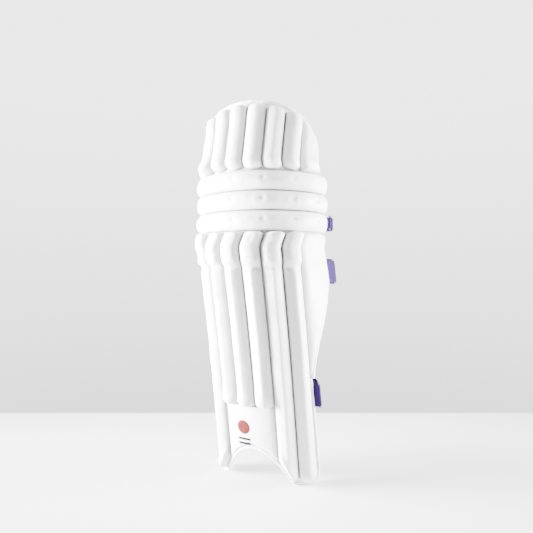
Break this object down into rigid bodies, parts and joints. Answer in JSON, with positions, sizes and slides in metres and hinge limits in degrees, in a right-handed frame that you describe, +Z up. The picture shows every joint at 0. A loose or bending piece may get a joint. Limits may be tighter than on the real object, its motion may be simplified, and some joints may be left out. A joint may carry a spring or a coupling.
{
  "type": "cricket batting leg pad",
  "caption": "Batting leg pad: channelled shin with a curved side wing, flexing knee rolls, a rounded top hat and hook-and-loop straps round the leg.",
  "frame": {"origin": "on the floor under the middle of the bounding box, the pad standing on its two toes", "axes": "+Z up, -Y the pad's front (the bowler's side), +X its outer side, where the wing and the strap rings are"},
  "size_m": [0.2569, 0.2433, 0.6931],
  "materials": {
    "white_pu_leather": "white PU-coated cloth over foam, satin, fine grain",
    "backing_board": "stiff sheet covered in white coated cloth, matt",
    "cane": "round rattan rods, inside the channels",
    "mesh_lining": "light grey spacer mesh over foam",
    "edge_piping": "white PU piping, satin",
    "purple_webbing": "purple brushed loop webbing, matt",
    "ring_plastic": "moulded white plastic",
    "hook_tape": "dark purple hook tape, matt",
    "badge": "flat printed patch, red and black"
  },
  "bodies": {
    "shin": {"shin_board": "backing_board", "shin_channel_1": "white_pu_leather", "shin_channel_2": "white_pu_leather", "shin_channel_3": "white_pu_leather", "shin_channel_4": "white_pu_leather", "shin_channel_5": "white_pu_leather", "shin_channel_6": "white_pu_leather", "shin_cane_1": "cane", "shin_cane_2": "cane", "shin_cane_3": "cane", "shin_cane_4": "cane", "shin_cane_5": "cane", "shin_cane_6": "cane", "instep_panel": "white_pu_leather", "instep_badge": "badge", "shin_bolster_medial": "mesh_lining", "shin_cushion_centre": "mesh_lining", "shin_bolster_lateral": "mesh_lining", "arch_binding": "edge_piping", "medial_piping": "edge_piping", "lateral_piping": "edge_piping", "calf_strap_band": "purple_webbing", "calf_ring": "ring_plastic", "calf_ring_tab": "purple_webbing", "ankle_strap_band": "purple_webbing", "ankle_ring": "ring_plastic", "ankle_ring_tab": "purple_webbing"},
    "wing": {"wing_panel": "white_pu_leather", "wing_piping": "edge_piping"},
    "roll_1": {"knee_roll_1": "white_pu_leather", "knee_backing_1": "backing_board", "knee_cushion_1": "mesh_lining", "knee_strap_band": "purple_webbing", "knee_ring": "ring_plastic", "knee_ring_tab": "purple_webbing"},
    "roll_2": {"knee_roll_2": "white_pu_leather", "knee_backing_2": "backing_board", "knee_cushion_2": "mesh_lining"},
    "roll_3": {"knee_roll_3": "white_pu_leather", "knee_backing_3": "backing_board", "knee_cushion_3": "mesh_lining"},
    "hat": {"hat_board": "backing_board", "hat_channel_1": "white_pu_leather", "hat_channel_2": "white_pu_leather", "hat_channel_3": "white_pu_leather", "hat_channel_4": "white_pu_leather", "hat_channel_5": "white_pu_leather", "hat_channel_6": "white_pu_leather", "hat_side_medial": "white_pu_leather", "hat_side_lateral": "white_pu_leather", "hat_cushion": "mesh_lining", "hat_piping": "edge_piping"},
    "knee_tail": {"knee_strap_tail": "purple_webbing", "knee_hook_patch": "hook_tape"},
    "calf_tail": {"calf_strap_tail": "purple_webbing", "calf_hook_patch": "hook_tape"},
    "ankle_tail": {"ankle_strap_tail": "purple_webbing", "ankle_hook_patch": "hook_tape"}
  },
  "joints": [
    {"name": "knee_flex_1", "type": "hinge", "parent": "shin", "child": "roll_1", "pos_m": [-0.00825, 0.05261, 0.4523], "axis": [-1, 0, 0], "range_deg": [0, 3.5], "stiffness_Nm_per_rad": 1},
    {"name": "knee_flex_2", "type": "hinge", "parent": "roll_1", "child": "roll_2", "pos_m": [-0.00872, 0.05354, 0.4895], "axis": [-1, 0, 0], "range_deg": [0, 3.5]},
    {"name": "knee_flex_3", "type": "hinge", "parent": "roll_2", "child": "roll_3", "pos_m": [-0.00916, 0.05442, 0.5247], "axis": [-1, 0, 0], "range_deg": [0, 3.5]},
    {"name": "knee_flex_4", "type": "hinge", "parent": "roll_3", "child": "hat", "pos_m": [-0.00961, 0.05533, 0.5611], "axis": [-1, 0, 0], "range_deg": [0, 3.5]},
    {"name": "wing_flex", "type": "hinge", "parent": "shin", "child": "wing", "pos_m": [0.11022, -0.03698, 0.185], "axis": [0.0744, 0.0433, -0.9963], "range_deg": [0, 12], "stiffness_Nm_per_rad": 0.4},
    {"name": "knee_tail_peel", "type": "hinge", "parent": "roll_1", "child": "knee_tail", "pos_m": [0.11791, 0.07145, 0.475], "axis": [0.0125, -0.025, -0.9996], "range_deg": [0, 75]},
    {"name": "calf_tail_peel", "type": "hinge", "parent": "shin", "child": "calf_tail", "pos_m": [0.11926, 0.08317, 0.379], "axis": [0.0769, 0.0912, -0.9929], "range_deg": [0, 75]},
    {"name": "ankle_tail_peel", "type": "hinge", "parent": "shin", "child": "ankle_tail", "pos_m": [0.12076, -0.01037, 0.155], "axis": [0.0772, 0.0476, -0.9959], "range_deg": [0, 75]}
  ],
  "couplings": [
    {"joint": "knee_flex_2", "follows": "knee_flex_1", "ratio": 1},
    {"joint": "knee_flex_3", "follows": "knee_flex_1", "ratio": 1},
    {"joint": "knee_flex_4", "follows": "knee_flex_1", "ratio": 1}
  ]
}
